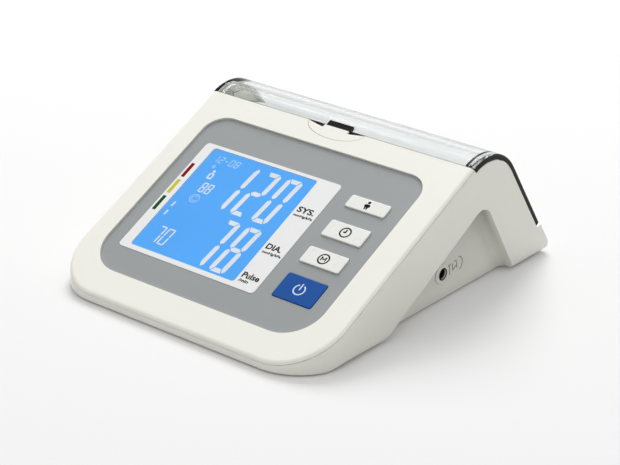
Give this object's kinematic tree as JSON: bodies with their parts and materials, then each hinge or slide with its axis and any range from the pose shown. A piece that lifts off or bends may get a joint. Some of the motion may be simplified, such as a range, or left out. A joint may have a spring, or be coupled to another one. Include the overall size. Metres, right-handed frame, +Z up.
{
  "type": "desktop upper-arm blood pressure monitor",
  "caption": "Wedge-shaped desktop blood pressure monitor with a sloped display face, side keys, arched sides, an air socket and a clear lid over a cuff compartment.",
  "frame": {"origin": "under the middle of the object, on the table it stands on", "axes": "+X to the right as the user faces the display, +Y from the front edge to the back, +Z up"},
  "size_m": [0.15, 0.1744, 0.0631],
  "materials": {
    "ivory_shell": "satin moulded ABS, warm white",
    "grey_panel": "fine matt painted plastic",
    "white_frame": "smooth white plastic",
    "clear_window": "clear acrylic",
    "clear_lid": "clear moulded plastic",
    "lcd": "lit blue liquid crystal cell",
    "backlight": "light guide",
    "white_key": "moulded, lightly polished",
    "blue_key": "moulded, lightly polished",
    "black_plastic": "black moulded plastic",
    "dark_plastic": "dark moulded plastic",
    "rubber": "matt rubber",
    "pale_rubber": "translucent silicone rubber",
    "steel": "plated steel",
    "spring_steel": "spring wire and strip",
    "motor_can": "drawn metal can",
    "cell": "plain wrapped cell",
    "board": "green circuit board"
  },
  "bodies": {
    "housing": {"front_cover": "ivory_shell", "base_shell": "ivory_shell", "cuff_tray": "ivory_shell", "control_panel": "grey_panel", "display_frame": "white_frame", "display_window": "clear_window", "lcd_glass": "lcd", "backlight": "backlight", "lcd_holder": "white_frame", "contact_strip": "pale_rubber", "key_pad": "pale_rubber", "latch_bracket": "ivory_shell", "latch_spring": "spring_steel", "hinge_pins": "steel", "main_board": "board", "board_chips": "dark_plastic", "board_screws": "steel", "buzzer": "black_plastic", "pressure_sensor": "black_plastic", "pump_motor": "motor_can", "pump_head": "dark_plastic", "pump_mount": "rubber", "air_manifold": "black_plastic", "release_valve": "dark_plastic", "pump_tube": "pale_rubber", "sensor_tube": "pale_rubber", "socket_tube": "pale_rubber", "valve_tube": "pale_rubber", "air_socket": "black_plastic", "socket_clip": "spring_steel", "power_jack": "black_plastic", "battery_bay": "ivory_shell", "battery_springs": "spring_steel", "battery_plates": "spring_steel", "rubber_feet": "rubber", "housing_screws": "steel", "tray_screws": "steel", "battery_1": "cell", "battery_2": "cell", "battery_3": "cell", "battery_4": "cell"},
    "lid": {"storage_lid": "clear_lid"},
    "latch": {"lid_latch": "ivory_shell", "latch_catch": "black_plastic"},
    "user_key": {"user_button": "white_key"},
    "clock_key": {"clock_button": "white_key"},
    "memory_key": {"memory_button": "white_key"},
    "power_key": {"power_button": "blue_key"},
    "door": {"battery_door": "ivory_shell"}
  },
  "joints": [
    {"name": "lid_hinge", "type": "hinge", "parent": "housing", "child": "lid", "pos_m": [0, 0.07807, 0.0172], "axis": [-1, 0, 0], "range_deg": [0, 105]},
    {"name": "latch_press", "type": "slide", "parent": "housing", "child": "latch", "axis": [0, 0.4431, -0.8965], "range_m": [0, 0.0012], "stiffness_N_per_m": 900, "springref_m": -0.0006, "deforming": ["latch_spring"]},
    {"name": "battery_door_hinge", "type": "hinge", "parent": "housing", "child": "door", "pos_m": [0, 0.0212, 0.0022], "axis": [-1, 0, 0], "range_deg": [0, 85]},
    {"name": "user_press", "type": "slide", "parent": "housing", "child": "user_key", "axis": [0, 0.4431, -0.8965], "range_m": [0, 0.0007], "stiffness_N_per_m": 1500, "springref_m": -0.0004},
    {"name": "clock_press", "type": "slide", "parent": "housing", "child": "clock_key", "axis": [0, 0.4431, -0.8965], "range_m": [0, 0.0007], "stiffness_N_per_m": 1500, "springref_m": -0.0004},
    {"name": "memory_press", "type": "slide", "parent": "housing", "child": "memory_key", "axis": [0, 0.4431, -0.8965], "range_m": [0, 0.0007], "stiffness_N_per_m": 1500, "springref_m": -0.0004},
    {"name": "power_press", "type": "slide", "parent": "housing", "child": "power_key", "axis": [0, 0.4431, -0.8965], "range_m": [0, 0.0007], "stiffness_N_per_m": 1500, "springref_m": -0.0004}
  ]
}
